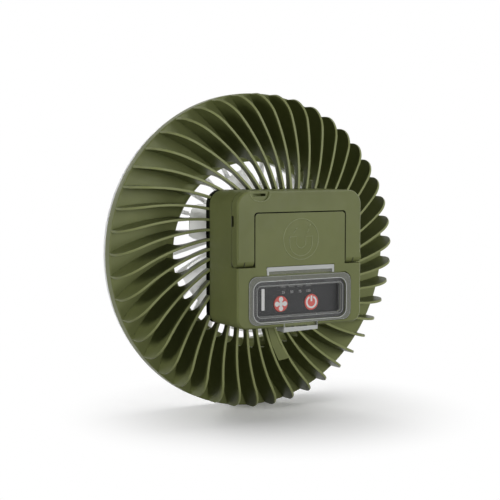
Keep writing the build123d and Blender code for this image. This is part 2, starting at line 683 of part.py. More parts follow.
def socket_shape(grow, x):
    """Prism along X with bevelled corners, in the outline of the charging socket."""
    outline = Rectangle(SOCKET_W + 2 * grow, SOCKET_H + 2 * grow)
    outline = chamfer(outline.vertices(), SOCKET_BEVEL)
    plane = Plane(origin=(x[1], SOCKET_Y, SOCKET_Z), x_dir=(0, 0, 1), z_dir=(-1, 0, 0))
    return extrude(plane * outline, amount=x[1] - x[0])


def charging_socket():
    mouth = -BOX_W / 2 + FIT
    end = mouth + SOCKET_L
    return socket_shape(0, (mouth, end)) - socket_shape(-SOCKET_SKIN, (mouth, end - SOCKET_SKIN))


def battery_pack():
    outline = Rectangle(2 * CELL_R, CELL_PITCH)
    for side in (-1, 1):
        turn = 180 / CELL_SIDE_COUNT
        outline += Pos(0, side * CELL_PITCH / 2) * RegularPolygon(CELL_R, CELL_SIDE_COUNT, False, turn)
    middle = (FLOOR_BACK + TRAY_BASE + CELL_R, CELL_TOP_Z - CELL_PITCH / 2)
    plane = Plane(origin=(-CELL_L / 2, *middle), x_dir=(0, 1, 0), z_dir=(1, 0, 0))
    return extrude(plane * outline, amount=CELL_L)


def battery_tray():
    """Tray that seats the battery on the floor of the hub."""
    low = CELL_TOP_Z - CELL_PITCH - CELL_R - FIT
    high = CELL_TOP_Z + CELL_R + FIT
    x = about(0, TRAY_W)
    tray = block(x, (FLOOR_BACK, FLOOR_BACK + TRAY_BASE + CELL_R), (low - TRAY_RIM, high + TRAY_RIM))
    return tray - block(x, (FLOOR_BACK + TRAY_BASE, FLOOR_BACK + TRAY_BASE + CELL_R), (low, high))


def magnet_block(front, back):
    return block(about(0, MAGNET_W), (front, back), about(MAGNET_Z, MAGNET_H))


def back_magnet():
    return magnet_block(PAD_WALL_FRONT - MAGNET_T, PAD_WALL_FRONT)


def magnet_keeper():
    back = PAD_WALL_FRONT - MAGNET_T
    return magnet_block(back - KEEPER_T, back)


pieces = {
    "rear_grille": rear_grille(),
    "wire_cover": wire_cover(),
    "front_cover": front_cover(),
    "light_board": light_board(),
    "light_chips": light_chips(),
    "impeller": impeller(),
    "impeller_nut": impeller_nut(),
    "motor_shaft": motor_shaft(),
    "rotor_magnets": rotor_magnets(),
    "motor_base": motor_base(),
    "motor_bush": motor_bush(),
    "motor_stator": motor_stator(),
    "stator_coils": stator_coils(),
    "box_screws": box_screws(),
    "rear_box": rear_box(),
    "bail": bail(),
    "back_magnet": back_magnet(),
    "magnet_keeper": magnet_keeper(),
    "clear_cover": clear_cover(),
    "cover_pin": cover_pin(),
    "cover_gasket": cover_gasket(),
    "control_panel": control_panel(),
    "fan_button": button(BUTTON_X),
    "power_button": button(-BUTTON_X),
    "button_switches": button_switches(),
    "indicator_lights": indicator_lights(),
    "control_board": control_board(),
    "charging_socket": charging_socket(),
    "battery_pack": battery_pack(),
    "battery_tray": battery_tray(),
}

stand = Pos(0, (COVER_FRONT - BOX_BACK) / 2, RIM_R)
os.makedirs("parts", exist_ok=True)
for name, piece in pieces.items():
    export_step(stand * piece, f"parts/{name}.step")
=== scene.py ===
from math import cos, pi, radians, sin, sqrt

import bmesh
import bpy
from mathutils import Matrix, Vector

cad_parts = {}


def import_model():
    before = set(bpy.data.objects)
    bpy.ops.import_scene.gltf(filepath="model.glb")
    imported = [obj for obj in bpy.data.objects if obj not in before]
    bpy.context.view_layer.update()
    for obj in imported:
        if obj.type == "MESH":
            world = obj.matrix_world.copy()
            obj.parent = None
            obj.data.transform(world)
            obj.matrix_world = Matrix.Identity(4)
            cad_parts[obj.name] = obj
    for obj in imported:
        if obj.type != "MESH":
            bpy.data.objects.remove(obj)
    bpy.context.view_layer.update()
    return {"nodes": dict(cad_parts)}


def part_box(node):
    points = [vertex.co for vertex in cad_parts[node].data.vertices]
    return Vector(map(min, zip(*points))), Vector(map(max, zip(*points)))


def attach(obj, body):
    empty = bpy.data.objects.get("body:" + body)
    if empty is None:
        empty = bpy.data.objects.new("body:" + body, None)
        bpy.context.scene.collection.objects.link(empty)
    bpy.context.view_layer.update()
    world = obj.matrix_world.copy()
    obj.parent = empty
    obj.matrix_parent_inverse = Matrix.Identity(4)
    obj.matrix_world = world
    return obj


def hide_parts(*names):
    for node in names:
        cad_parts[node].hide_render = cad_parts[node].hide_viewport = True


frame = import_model()
NODES = frame["nodes"]

# Lengths below are in millimetres about the fan axis: Y from the rim's front edge, X to the side, Z up.
MM = 0.001
GRILLE_LOW, GRILLE_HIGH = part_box("rear_grille")
AXIS = Vector((0, GRILLE_LOW.y, (GRILLE_LOW.z + GRILLE_HIGH.z) / 2))
# Lowest and highest corner of a node's box, named by the ends that they give
FRONT, BACK = 0, 1
LOW, HIGH = 0, 1

# Camera that took the photograph: its place, the direction from the object to it, lens and sensor width
CAMERA_PLACE = (372.606, 659.224, 58.34)
CAMERA_BACK = (0.4917, 0.8674, 0.0772)
CAMERA_LENS, SENSOR = 89.08, 36.0

# Rear grille: rim, pan and the lip of the inlet
RIM_R, RIM_DEPTH, PAN_WALL = 95.0, 6.6, 1.6
RIM_ROUND, RIM_CHAMFER = 0.8, 0.3
INLET_R, INLET_LIP_OUT, INLET_LIP_SINK = 54.0, 2.6, 1.4
RING_STEPS, INLET_LIP_STEPS, RIM_ROUND_STEPS = 180, 6, 4

# Swirl fins of the grille
FIN_COUNT, FIN_FIRST_DEG = 45, 3.5
FIN_T, FIN_EDGE_ROUND = 1.5, 0.25
FIN_OFFSET, FIN_BOW = 21.5, 4.1
FIN_EDGE_R, FIN_DROP = 94.7, 2.1
FIN_SHOULDER, FIN_WINDOW = 14.6, 7.0
FIN_START_R, FIN_START_STEP = 35.7, 0.1
FIN_ROOT_STEPS, FIN_WINDOW_STEPS, FIN_FOOT_STEPS, FIN_SHOULDER_STEPS = 8, 7, 12, 12
# Share of a rounding that the middle of its quarter turn is drawn in by
ROUND_MIDDLE = 0.3

# Hub of the grille, with the outline of the box and a dark band of painted shade on its wall between the fin
# roots
HUB_FRONT, HUB_FLOOR, HUB_WALL, JOINT_Y = 23.3, 2.0, 2.0, 28.4
HUB_FRONT_CHAMFER, HUB_JOINT_CHAMFER = 0.4, 0.25
BOX_W, BOX_H, BOX_DROP = 83.0, 77.4, 1.0
BOX_TOP_ROUND, BOX_BOTTOM_ROUND, BOX_ROUND_STEPS = 8.4, 6.2, 8
SHADE_BAND_T, SHADE_BAND_END = 0.05, 0.4

# Painted highlight, a paler colour where light would catch the edges: the name of each point's share of it,
# its values across a fin's edge and on the rim's outer wall
PAINTED_HIGHLIGHT = "painted_highlight"
FIN_HIGHLIGHT, RIM_HIGHLIGHT, RIM_HIGHLIGHT_REACH = (1.0, 0.7, 0.0), 0.4, 0.1

# Joint line on the front, where the light's diffuser meets the guard, in grey as painted shade
DIFFUSER_JOINT_R, JOINT_LINE = 59.0, 0.15

# Impeller: the cup, and blades with half their width and half their height at the root and at the tip
CUP_R, CUP_WALL, CUP_FRONT, CUP_REAR, SHAFT_R = 17.0, 2.0, 5.0, 18.4, 1.3
CUP_ROUND, CUP_ROUND_MIDDLE = 1.5, 0.5
BLADES, BLADE_FIRST_DEG, BLADE_SWEEP_DEG = 7, -20.0, -8.0
BLADE_Y, BLADE_TIP_R, BLADE_T = 10.2, 49.6, 1.3
BLADE_ROOT, BLADE_TIP = (5.6, 3.6), (14.5, 5.2)
BLADE_CAMBER, BLADE_STEPS = 1.3, 12
# Narrowing of a blade's tip and how late it sets in, and the least squared share of thickness at the edges
TIP_ROUND, TIP_ROUND_POWER, BLADE_EDGE = 0.35, 6, 0.12

# Pocket of the controls, its seal and the clear lid over it
POCKET_W, POCKET_H, POCKET_ROUND, POCKET_MID = 58.0, 18.8, 3.0, -24.8
SEAL_W = 2.0
LID_W, LID_H, LID_ROUND, LID_MID = 68.4, 27.4, 5.0, -24.0
LID_LIP_INSET, LID_LIP_W, LID_LIP_RISE = 0.02, 0.35, 0.2
STEP_W = 0.45
RIB_W, RIB_DEPTH, RIB_GAP, RIB_LINE = 1.1, 1.6, 0.1, 0.3
TAB_W, TAB_H, TAB_EDGE, TAB_ROUND = 45.0, 4.6, 1.3, 0.5
HINGE_H, HINGE_BODY_H, HINGE_ROUND = 2.4, 1.8, 0.2
LATCH_W, LATCH_T, LATCH_REACH = 22.6, 2.2, 7.5
LATCH_EDGE, LATCH_DROP, LATCH_ROUND = 0.5, 0.6, 0.1
LID_ROUND_STEPS, SMALL_ROUND_STEPS = 6, 3

# Prints: signs on the buttons in shares of their radius, numbers under the lamps, and a plain bar.
# Round outlines of the fan sign stop short of a full turn, because an outline closes itself.
PRINT_T, BUTTON_X, BUTTON_Z, BUTTON_SIGN_R = 0.06, 10.3, -27.1, 4.2
FAN_SIGN_BLADES, FAN_SIGN_MIDDLE, FAN_SIGN_BLADE, FAN_SIGN_BOSS = 4, 0.62, (0.34, 0.36), 0.32
FAN_SIGN_TURN_DEG, FAN_SIGN_STEPS = 345, 15
POWER_RING, POWER_RING_DEG, POWER_RING_STEPS = (0.88, 0.62), (115, 425), 24
POWER_BAR_HALF, POWER_BAR_ENDS = 0.14, (0.1, 0.9)
LABELS = ("25", "50", "75", "100")
LAMP_PITCH, LABEL_Z, LABEL_SIZE = 5.6, -21.2, 2.1
BAR_X, BAR_Z, BAR_W, BAR_ROUND = 21.9, (-30.3, -17.9), 2.0, 0.4

# Thin dark beads of painted shadow in the bail's joints: along its seat on the box, and round the pad
JOINT_SHADOW_R, JOINT_SHADOW_INSET, LEG_FOOT = 0.17, 0.2, 0.4
PAD_BEAD_R, PAD_BEAD_X, PAD_BEAD_Z = 0.33, 30.35, 25.55
PAD_BEAD_SINK, PAD_BEAD_ROUND, PAD_BEAD_STEPS = 0.36, 2.3, 6

# Marks on the bail: a dark line of painted shade for the slit near the end of each leg, and the lip of the
# lanyard scoop in painted highlight
LEG_MARK_X = {"left": 37.2, "right": -35.4}
LEG_MARK_Z, LEG_MARK_LEAN, LEG_MARK_R = (0.5, 3.0), 0.5, 0.2
SCOOP_X, SCOOP_Z, SCOOP_R, SCOOP_STEPS = 26.7, 36.4, (6.6, 4.4), 24

# Magnet sign on the pad: ring, horseshoe and the ends of its sparks
SIGN_Z, SIGN_R, SIGN_LINE, SIGN_STEPS = 10.1, 11.7, 0.26, 60
SHOE_OUT, SHOE_IN, SHOE_LOW, SHOE_TOP = 7.6, 3.1, -2.0, 1.5
SHOE_OUT_STEPS, SHOE_IN_STEPS = 24, 16
SPARKS = (
    ((5.0, 3.5), (3.7, 5.4)),
    ((3.7, 5.8), (2.0, 6.9)),
    ((-3.6, 3.5), (-5.3, 5.4)),
    ((-5.3, 6.9), (-6.7, 8.5)),
)
LINE_RESOLUTION = 2

# Charging socket: width, thickness and length of its tongue, and the flat between its rounded edges
TONGUE_W, TONGUE_T, TONGUE_L, TONGUE_FLAT = 6.2, 0.8, 5.0, 0.1

# Rounding of a node's edges: its steps, the distance in metres at which points are one,
# the largest angle of a flat joint and the smallest angle of an edge
EDGE_STEPS, SAME_POINT, FLAT_DEG, EDGE_DEG = 2, 1e-6, 0.5, 28

# Surfaces: scales of mottle, gloss and grain, the noise's detail and span, and the grain's height in metres
MOTTLE_SCALE, GLOSS_SCALE, GRAIN_SCALE = 45.0, 220.0, 1400.0
NOISE_DETAIL, GRAIN_DETAIL, NOISE_SPAN = 3.0, 2.0, (0.35, 0.65)
GLOSS_SPREAD, GRAIN_HEIGHT = 0.1, 0.0002
CLEAR_ROUGHNESS, FACING_BLEND, FACING_SPAN = 0.1, 0.4, (0.3, 0.95)

# Stage, in metres: the floor, whose grey round the object is partly painted shadow, and where it turns
# white, and each lamp's place, watts and size
FLOOR_HALF, FLOOR_TONE, FLOOR_BOUNCE, FLOOR_LIFT = 6.0, 1.25, 0.1, 0.12
FLOOR_FADE = (0.02, 0.13)
LAMPS = {
    "key": ((-0.8, 1.5, 0.35), 9.0, 0.5),
    "back": ((0.15, 1.7, 0.2), 9.6, 0.5),
    "side": ((1.55, 0.05, 0.35), 9.0, 0.6),
    "overhead": ((-0.8, 0.0, 1.35), 4.0, 0.7),
    "front": ((-0.15, -1.5, 0.2), 20.5, 0.4),
}


def place(x, y, z):
    """Point in the frame, in metres, of a place about the fan axis."""
    return AXIS + Vector((x, y, z)) * MM


def axis_place(node, end):
    """Front or back of a node along the axis, in millimetres from the rim's front edge."""
    return (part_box(node)[end].y - AXIS.y) / MM


def height_place(node, end):
    """Low or high end of a node, in millimetres above the fan axis."""
    return (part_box(node)[end].z - AXIS.z) / MM


def feed(tree, socket, value):
    """Link a shader socket to another one, or give it a plain value."""
    if isinstance(value, bpy.types.NodeSocket):
        tree.links.new(value, socket)
    else:
        socket.default_value = value


def calculated(tree, operation, first, second):
    """Result of a mathematical operation on two values."""
    node = tree.nodes.new("ShaderNodeMath")
    node.operation = operation
    feed(tree, node.inputs[0], first)
    feed(tree, node.inputs[1], second)
    return node.outputs[0]


def mixed(tree, share, first, second):
    """Colour between two colours, by a share of the second."""
    node = tree.nodes.new("ShaderNodeMix")
    node.data_type = "RGBA"
    feed(tree, node.inputs["Factor"], share)
    feed(tree, node.inputs["A"], first)
    feed(tree, node.inputs["B"], second)
    return node.outputs["Result"]


def ramp(tree, value, low, high, span=NOISE_SPAN):
    """Colour that goes from one to another as a value crosses a span."""
    node = tree.nodes.new("ShaderNodeValToRGB")
    for stop, position, colour in zip(node.color_ramp.elements, span, (low, high)):
        stop.position = position
        stop.color = (*colour, 1)
    tree.links.new(value, node.inputs["Fac"])
    return node.outputs["Color"]


def noise(tree, scale, detail=NOISE_DETAIL):
    """Noise over the object's own coordinates."""
    coordinates = tree.nodes.new("ShaderNodeTexCoord")
    node = tree.nodes.new("ShaderNodeTexNoise")
    node.inputs["Scale"].default_value = scale
    node.inputs["Detail"].default_value = detail
    tree.links.new(coordinates.outputs["Object"], node.inputs["Vector"])
    return node.outputs["Fac"]


def surface(name, colour, roughness, mottle=0.06, bump=0.12, highlight_colour=None, **shader_values):
    """Moulded or plated surface: colour mottle, uneven gloss, a fine grain and, if given, a painted
    highlight: a paler colour where the mesh carries a share of it.
    """
    material = bpy.data.materials.new(name)
    material.use_nodes = True
    tree = material.node_tree
    shader = tree.nodes["Principled BSDF"]
    darker = [part * (1 - mottle) for part in colour]
    lighter = [min(1, part * (1 + mottle)) for part in colour]
    tone = ramp(tree, noise(tree, MOTTLE_SCALE), darker, lighter)
    # Painted highlight: the colour turns paler by each point's share
    if highlight_colour:
        pale = tree.nodes.new("ShaderNodeAttribute")
        pale.attribute_name = PAINTED_HIGHLIGHT
        tone = mixed(tree, pale.outputs["Fac"], tone, (*highlight_colour, 1))
    tree.links.new(tone, shader.inputs["Base Color"])
    glossier, duller = roughness * (1 - GLOSS_SPREAD), min(1, roughness * (1 + GLOSS_SPREAD))
    gloss = ramp(tree, noise(tree, GLOSS_SCALE), (glossier,) * 3, (duller,) * 3)
    tree.links.new(gloss, shader.inputs["Roughness"])
    relief = tree.nodes.new("ShaderNodeBump")
    relief.inputs["Strength"].default_value = bump
    relief.inputs["Distance"].default_value = GRAIN_HEIGHT
    tree.links.new(noise(tree, GRAIN_SCALE, GRAIN_DETAIL), relief.inputs["Height"])
    tree.links.new(relief.outputs["Normal"], shader.inputs["Normal"])
    for socket, value in shader_values.items():
        shader.inputs[socket.replace("_", " ")].default_value = value
    return material


def clear_plastic(name, colour, face_on, edge_on):
    """Clear plastic that thickens from one cover to another where it is seen edge on."""
    material = surface(name, colour, CLEAR_ROUGHNESS, mottle=0.03, bump=0.02)
    tree = material.node_tree
    facing = tree.nodes.new("ShaderNodeLayerWeight")
    facing.inputs["Blend"].default_value = FACING_BLEND
    cover = ramp(tree, facing.outputs["Facing"], (face_on,) * 3, (edge_on,) * 3, FACING_SPAN)
    tree.links.new(cover, tree.nodes["Principled BSDF"].inputs["Alpha"])
    return material


# Paler olive painted on the fin edges and the rim's outer wall as highlight
OLIVE_HIGHLIGHT = (0.265, 0.292, 0.122)
OLIVE = surface("olive_plastic", (0.168, 0.188, 0.068), 0.4, highlight_colour=OLIVE_HIGHLIGHT, Specular_IOR_Level=0.18)
# Paler olive for the raised lines of the magnet sign and the scoop lip: painted highlight
OLIVE_HIGHLIGHT_LINE = surface("olive_highlight_line", (0.21, 0.235, 0.1), 0.4)
WHITE = surface("white_plastic", (0.93, 0.93, 0.91), 0.42, mottle=0.02,
                Subsurface_Weight=1.0, Subsurface_Radius=(1, 1, 1), Subsurface_Scale=0.006)
CLEAR = clear_plastic("clear_plastic", (0.7, 0.72, 0.7), 0.03, 0.3)
CLEAR_THICK = clear_plastic("clear_thick", (0.4, 0.41, 0.4), 0.3, 0.5)
# Paler, denser clear plastics for the lid's lines, border and edges: painted highlight and painted
# reflection
CLEAR_HIGHLIGHT_LINE = clear_plastic("clear_highlight_line", (0.6, 0.62, 0.6), 0.45, 0.7)
CLEAR_BODY = clear_plastic("clear_body", (0.4, 0.41, 0.38), 0.3, 0.5)
CLEAR_REFLECTION = clear_plastic("clear_reflection", (0.3, 0.31, 0.27), 0.55, 0.7)
CLEAR_HIGHLIGHT = clear_plastic("clear_highlight", (0.75, 0.77, 0.75), 0.7, 0.9)
SEAL_RUBBER_AND_SHADE = surface("seal_rubber", (0.016, 0.016, 0.017), 0.6)
PANEL = surface("panel_plastic", (0.016, 0.016, 0.018), 0.5, Specular_IOR_Level=0.2)
RED = surface("button_plastic", (0.66, 0.07, 0.05), 0.4, mottle=0.04)
LAMP = surface("lamp_plastic", (0.06, 0.06, 0.06), 0.4)
CHIP = surface("chip_plastic", (0.75, 0.68, 0.3), 0.35)
LAMINATE = surface("board_laminate", (0.02, 0.11, 0.04), 0.4)
# Matte near-black that is painted shade, for the band between the fin roots and the bead round the pad
PAINTED_SHADE = surface("painted_shade_dark", (0.014, 0.015, 0.01), 0.9, Specular_IOR_Level=0.05)
BLACK = surface("black_plastic", (0.02, 0.02, 0.02), 0.45)
STEEL = surface("steel", (0.55, 0.55, 0.55), 0.3, Metallic=1.0)
MAGNET = surface("magnet_steel", (0.35, 0.35, 0.37), 0.35, Metallic=1.0)
BRONZE = surface("sintered_bronze", (0.42, 0.26, 0.1), 0.5, Metallic=1.0)
COPPER = surface("copper", (0.6, 0.22, 0.08), 0.35, Metallic=1.0)
SLEEVE = surface("cell_sleeve", (0.02, 0.08, 0.25), 0.3)
PRINT = surface("print_white", (0.8, 0.8, 0.79), 0.5, mottle=0.03)
# Grey of the printed numbers, also used for the diffuser's joint line as painted shade
PRINT_AND_SHADE_GREY = surface("print_and_shade_grey", (0.4, 0.4, 0.4), 0.5, mottle=0.05)
SHADOW_GAP = surface("gap_dark", (0.012, 0.014, 0.005), 0.8)

NODE_LOOKS = {
    "rear_grille": OLIVE, "wire_cover": OLIVE, "rear_box": OLIVE, "bail": OLIVE,
    "front_cover": WHITE, "impeller": WHITE, "clear_cover": CLEAR, "cover_gasket": SEAL_RUBBER_AND_SHADE,
    "control_panel": PANEL, "fan_button": RED, "power_button": RED, "indicator_lights": LAMP,
    "light_chips": CHIP, "light_board": LAMINATE, "control_board": LAMINATE,
    "motor_base": BLACK, "battery_tray": BLACK, "button_switches": BLACK,
    "motor_stator": STEEL, "motor_shaft": STEEL, "impeller_nut": STEEL, "box_screws": STEEL,
    "cover_pin": STEEL, "magnet_keeper": STEEL, "charging_socket": STEEL,
    "rotor_magnets": MAGNET, "back_magnet": MAGNET, "motor_bush": BRONZE, "stator_coils": COPPER,
    "battery_pack": SLEEVE,
}
for node_name, node_look in NODE_LOOKS.items():
    NODES[node_name].data.materials.clear()
    NODES[node_name].data.materials.append(node_look)


def add_piece(name, data, look, body, slot, *replaced, spot=Matrix.Identity(4)):
    """Object of a mesh, a curve or a text, riding on a body of the frame."""
    piece = bpy.data.objects.new(name, data)
    bpy.context.scene.collection.objects.link(piece)
    data.materials.clear()
    data.materials.append(look)
    piece.matrix_world = spot
    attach(piece, body)
    if replaced:
        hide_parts(*replaced)
    return piece


def add_drawn(name, shape, look, body, slot, *replaced):
    """Piece of a bmesh that is drawn in millimetres about the fan axis."""
    bmesh.ops.recalc_face_normals(shape, faces=shape.faces)
    bmesh.ops.transform(shape, matrix=Matrix.Translation(AXIS) @ Matrix.Scale(MM, 4), verts=shape.verts)
    mesh = bpy.data.meshes.new(name)
    shape.to_mesh(mesh)
    shape.free()
    return add_piece(name, mesh, look, body, slot, *replaced)


def add_lines(name, strokes, y, radius, look, body, slot):
    """Fine round lines on a face that looks along the axis."""
    curve = bpy.data.curves.new(name, "CURVE")
    curve.dimensions = "3D"
    curve.bevel_depth = radius * MM
    curve.bevel_resolution = LINE_RESOLUTION
    for stroke in strokes:
        spline = curve.splines.new("POLY")
        spline.points.add(len(stroke) - 1)
        for point, (x, z) in zip(spline.points, stroke):
            point.co = (*place(x, y, z), 1)
    add_piece(name, curve, look, body, slot)


def even_shading(piece):
    """Smooth shading in which the large faces set the normals."""
    for face in piece.data.polygons:
        face.use_smooth = True
    normals = piece.modifiers.new("normals", "WEIGHTED_NORMAL")
    normals.keep_sharp = True


def softened(node, name, look, body, slot, edge):
    """Copy of a node's mesh with its sharp edges rounded."""
    mesh = NODES[node].data.copy()
    shape = bmesh.new()
    shape.from_mesh(mesh)
    bmesh.ops.remove_doubles(shape, verts=shape.verts, dist=SAME_POINT)
    bmesh.ops.dissolve_limit(shape, angle_limit=radians(FLAT_DEG), verts=shape.verts, edges=shape.edges)
    shape.to_mesh(mesh)
    shape.free()
    piece = add_piece(name, mesh, look, body, slot, node)
    rounding = piece.modifiers.new("rounding", "BEVEL")
    rounding.width = edge * MM
    rounding.segments = EDGE_STEPS
    rounding.limit_method = "ANGLE"
    rounding.angle_limit = radians(EDGE_DEG)
    rounding.use_clamp_overlap = True
    even_shading(piece)


def turned(a, b, turn):
    """Point of a flat drawing, turned about its origin."""
    return a * cos(turn) - b * sin(turn), a * sin(turn) + b * cos(turn)


def arc(centre, radii, start_deg, end_deg, steps):
    """Points along an elliptic arc."""
    points = []
    for i in range(steps + 1):
        turn = radians(start_deg + (end_deg - start_deg) * i / steps)
        points.append((centre[0] + radii[0] * cos(turn), centre[1] + radii[1] * sin(turn)))
    return points


def rounded_outline(x, z, width, height, top_radius, bottom_radius, inset, steps):
    """Rectangle with rounded corners, drawn in by an inset that makes the corners sharper."""
    outline = []
    for quarter, (side_x, side_z) in enumerate([(1, 1), (-1, 1), (-1, -1), (1, -1)]):
        radius = top_radius if side_z > 0 else bottom_radius
        centre = (x + side_x * (width / 2 - radius), z + side_z * (height / 2 - radius))
        outline += arc(centre, (radius - inset,) * 2, 90 * quarter, 90 * quarter + 90, steps)
    return outline


def box_outline(inset):
    """Outline of the hub and the box in X and Z, with larger corners at the top."""
    rounds = BOX_TOP_ROUND, BOX_BOTTOM_ROUND
    return rounded_outline(0, -BOX_DROP, BOX_W, BOX_H, *rounds, inset, BOX_ROUND_STEPS)


def lid_outline(inset):
    """Outline of the clear lid, drawn in."""
    rounds = LID_ROUND, LID_ROUND
    return rounded_outline(0, LID_MID, LID_W, LID_H, *rounds, inset, LID_ROUND_STEPS)


def pocket_outline(inset):
    """Outline of the pocket under the lid, drawn in."""
    rounds = POCKET_ROUND, POCKET_ROUND
    return rounded_outline(0, POCKET_MID, POCKET_W, POCKET_H, *rounds, inset, LID_ROUND_STEPS)


def small_rect(x, z, width, height, radius):
    """Outline of a small bar with rounded corners."""
    return rounded_outline(x, z, width, height, radius, radius, 0, SMALL_ROUND_STEPS)


def bridge(shape, first, second):
    """Quads between two closed loops of the same length."""
    count = len(first)
    for i in range(count):
        j = (i + 1) % count
        shape.faces.new((first[i], first[j], second[j], second[i]))


def add_ring(shape, profile):
    """Ring turned about the fan axis from a closed profile of radius and place along the axis."""
    turns = [2 * pi * i / RING_STEPS for i in range(RING_STEPS)]
    loops = [[shape.verts.new((r * cos(t), y, r * sin(t))) for t in turns] for r, y in profile]
    for first, second in zip(loops, loops[1:] + loops[:1]):
        bridge(shape, first, second)


def add_prism(shape, outline, front, back):
    """Closed prism of an outline in X and Z between two places along the axis."""
    loops = [[shape.verts.new((x, y, z)) for x, z in outline] for y in (front, back)]
    bridge(shape, *loops)
    for loop in loops:
        shape.faces.new(loop)


def add_frame(shape, outer, inner, front, back):
    """Closed ring between two outlines of the same number of points."""
    loops = []
    for outline, y in ((outer, front), (outer, back), (inner, back), (inner, front)):
        loops.append([shape.verts.new((x, y, z)) for x, z in outline])
    for first, second in zip(loops, loops[1:] + loops[:1]):
        bridge(shape, first, second)


def inside_hub(x, z, inset):
    """True where a point lies inside the hub's outline, drawn in by the inset."""
    radius = BOX_TOP_ROUND if z > -BOX_DROP else BOX_BOTTOM_ROUND
    over_x = abs(x) - (BOX_W / 2 - radius)
    over_z = abs(z + BOX_DROP) - (BOX_H / 2 - radius)
    outside = sqrt(max(over_x, 0) ** 2 + max(over_z, 0) ** 2) + min(max(over_x, over_z), 0)
    return outside < radius - inset


def add_hub(shape):
    """Front half of the box: floor and walls, open to the back."""
    levels = [
        (HUB_FRONT_CHAMFER, HUB_FRONT), (0.0, HUB_FRONT + HUB_FRONT_CHAMFER),
        (0.0, JOINT_Y - HUB_JOINT_CHAMFER), (HUB_JOINT_CHAMFER, JOINT_Y),
        (HUB_WALL, JOINT_Y), (HUB_WALL, HUB_FRONT + HUB_FLOOR),
    ]
    loops = [[shape.verts.new((x, y, z)) for x, z in box_outline(inset)] for inset, y in levels]
    for first, second in zip(loops, loops[1:]):
        bridge(shape, first, second)
    shape.faces.new(loops[0])
    shape.faces.new(loops[-1])


def along_fin(radius):
    """Place along a fin's line that lies at a radius from the fan axis."""
    return sqrt(radius**2 - FIN_OFFSET**2)


def fin_line(along):
    """Middle of a fin across its line, which bows as a parabola, and the unit normal there."""
    start, end = along_fin(FIN_START_R), along_fin(RIM_R)
    share = (along - start) / (end - start)
    across = FIN_OFFSET + 4 * FIN_BOW * share * (1 - share)
    slope = 4 * FIN_BOW * (1 - 2 * share) / (end - start)
    return across, Vector((-slope, 1)).normalized()


def fin_start(turn):
    """Place along a fin's line where it comes to the middle of the hub's wall."""
    start = along_fin(FIN_START_R)
    while inside_hub(*turned(start, fin_line(start)[0], turn), HUB_WALL / 2):
        start += FIN_START_STEP
    return start


def steps_between(low, high, count):
    """Even steps from one value up to, but without, another."""
    return [low + (high - low) * i / count for i in range(count)]


def fin_sides(start):
    """Front and back edge of a fin's side view, from the hub to the rim, point for point."""
    foot = RIM_DEPTH - PAN_WALL / 2
    edge, window = along_fin(FIN_EDGE_R), along_fin(INLET_R + INLET_LIP_OUT)
    middle = edge - FIN_SHOULDER
    top = JOINT_Y - FIN_DROP
    slope = FIN_DROP / (middle - along_fin(FIN_START_R))
    corner = (window - FIN_WINDOW, HUB_FRONT - FIN_WINDOW)
    front = [(u, HUB_FRONT) for u in steps_between(start, corner[0], FIN_ROOT_STEPS)]
    front += arc(corner, (FIN_WINDOW,) * 2, 90, 0, FIN_WINDOW_STEPS)
    front += [(u, foot) for u in steps_between(window, middle, FIN_FOOT_STEPS)]
    back = [(u, JOINT_Y - slope * (u - along_fin(FIN_START_R))) for u, _ in front]
    shoulder = arc((middle, top - FIN_SHOULDER), (FIN_SHOULDER,) * 2, 90, 0, FIN_SHOULDER_STEPS)
    front += [(u, foot) for u, _ in shoulder[:-1]] + [(edge, foot)]
    return front, back + shoulder


def drawn_in(outline, distance):
    """Closed outline moved inwards along its corner normals."""
    area = sum(a[0] * b[1] - b[0] * a[1] for a, b in zip(outline, outline[1:] + outline[:1]))
    side = 1 if area > 0 else -1
    moved = []
    for i, point in enumerate(outline):
        before, after = Vector(outline[i - 1]), Vector(outline[(i + 1) % len(outline)])
        run = after - before
        normal = Vector((-run.y, run.x)).normalized() * side
        moved.append((point[0] + normal.x * distance, point[1] + normal.y * distance))
    return moved


def add_fin(shape, turn):
    """One swirl fin with rounded edges, which carry a painted highlight in a paler colour."""
    front, back = fin_sides(fin_start(turn))
    outline = front + back[::-1]
    half, middle = FIN_T / 2, ROUND_MIDDLE * FIN_EDGE_ROUND
    insets = 0.0, middle, FIN_EDGE_ROUND
    thicks = half - FIN_EDGE_ROUND, half - middle, half
    levels = list(zip(insets, thicks, FIN_HIGHLIGHT))
    # Share of the painted highlight: full at the fin's edge, none on its flat sides
    painted_highlight = shape.verts.layers.float[PAINTED_HIGHLIGHT]
    loops = []
    for side in (-1, 1):
        for inset, thick, pale in levels[::side]:
            loop = []
            for u, y in drawn_in(outline, inset):
                across, normal = fin_line(u)
                flat = Vector((u, across)) + normal * side * thick
                x, z = turned(flat.x, flat.y, turn)
                vertex = shape.verts.new((x, y, z))
                vertex[painted_highlight] = pale
                loop.append(vertex)
            loops.append(loop)
    for first, second in zip(loops, loops[1:]):
        bridge(shape, first, second)
    for loop in (loops[0], loops[-1]):
        for i in range(len(front) - 1):
            shape.faces.new((loop[i], loop[i + 1], loop[-2 - i], loop[-1 - i]))


